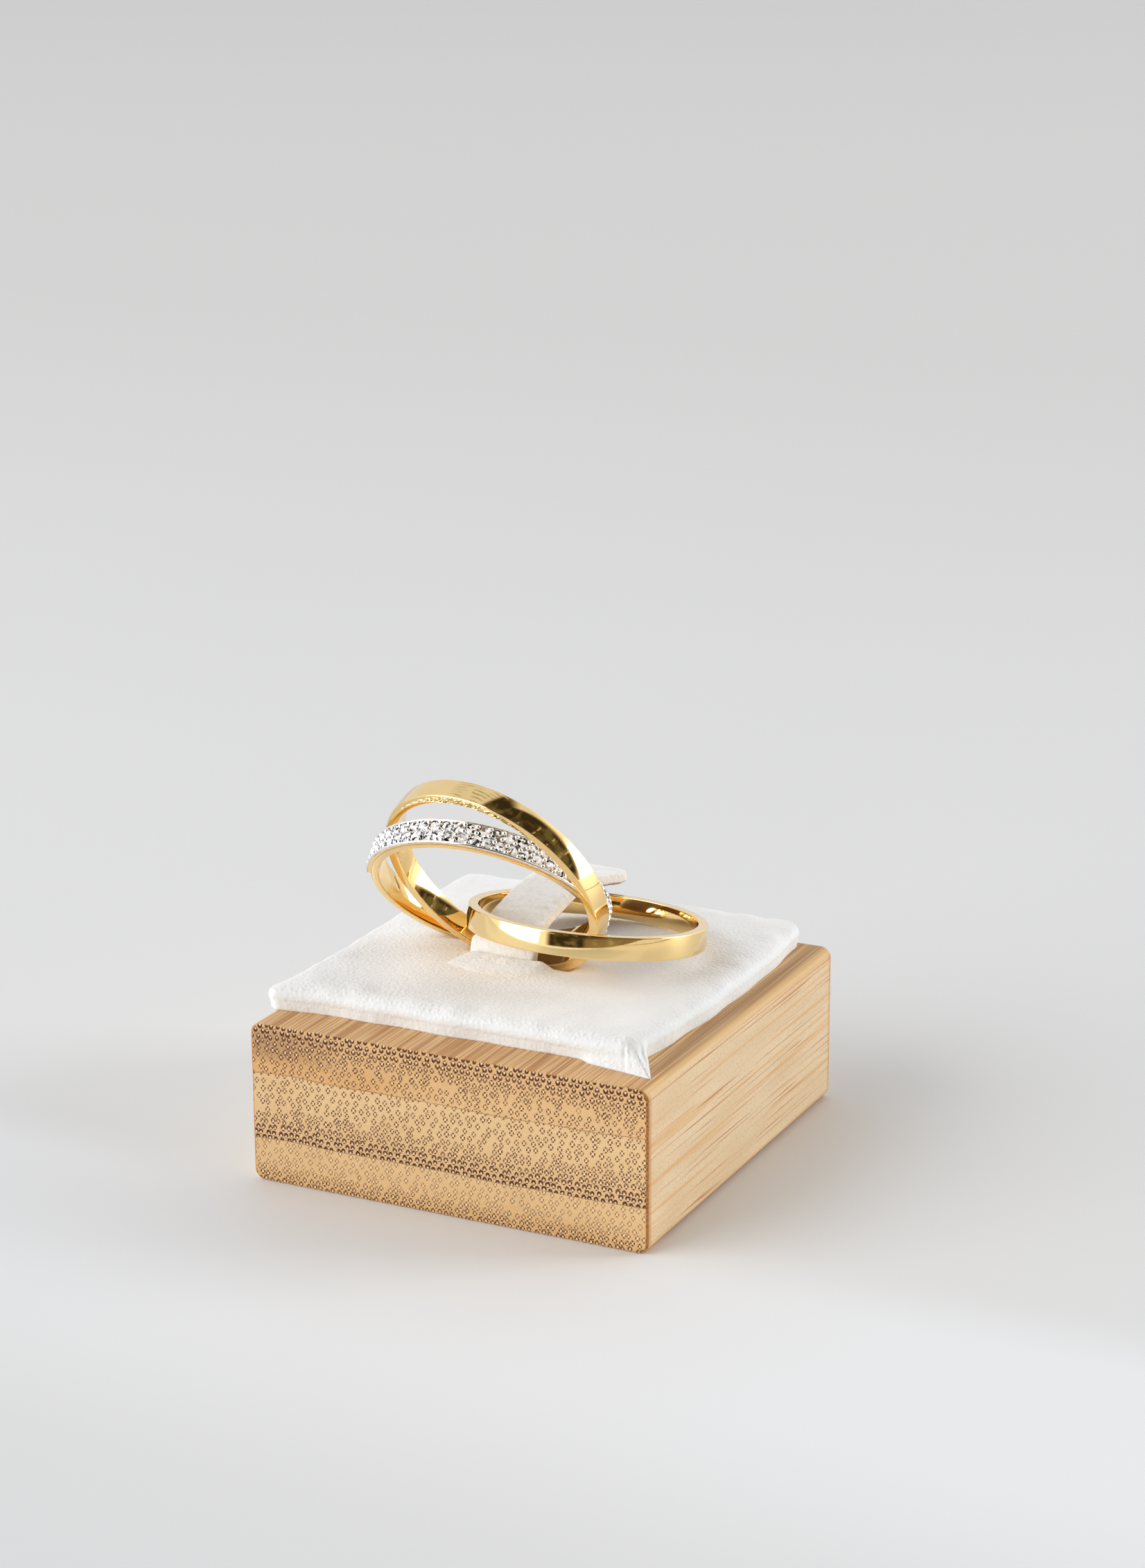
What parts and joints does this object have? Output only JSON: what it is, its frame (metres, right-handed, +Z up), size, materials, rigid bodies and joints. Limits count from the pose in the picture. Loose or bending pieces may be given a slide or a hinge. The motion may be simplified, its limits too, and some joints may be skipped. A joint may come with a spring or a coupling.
{
  "type": "finger ring on display stand",
  "caption": "Gold-plated finger ring of narrow interlinked bands, one set with small white stones along half its round, held by a leather tongue on a padded bamboo display block.",
  "frame": {"origin": "centre of the display block's underside, on the surface that it stands on", "axes": "+Z up, +X to the right along the block's end-grain front, -Y towards the front; the tongue runs back towards +Y"},
  "size_m": [0.0338, 0.0354, 0.0316],
  "materials": {
    "bamboo": "satin lacquer",
    "pad_leather": "soft grained leather",
    "tongue_leather": "soft grained leather",
    "gold": "mirror polished gold plate",
    "stone_band_gold": "polished gold plate, bright white metal round the stones",
    "stones": "cut and polished"
  },
  "bodies": {
    "root": {"bamboo_block": "bamboo", "leather_pad": "pad_leather", "leather_tongue": "tongue_leather", "plain_band_upright": "gold", "plain_band_flat": "gold", "stone_band": "stone_band_gold", "band_stones": "stones"}
  },
  "joints": []
}
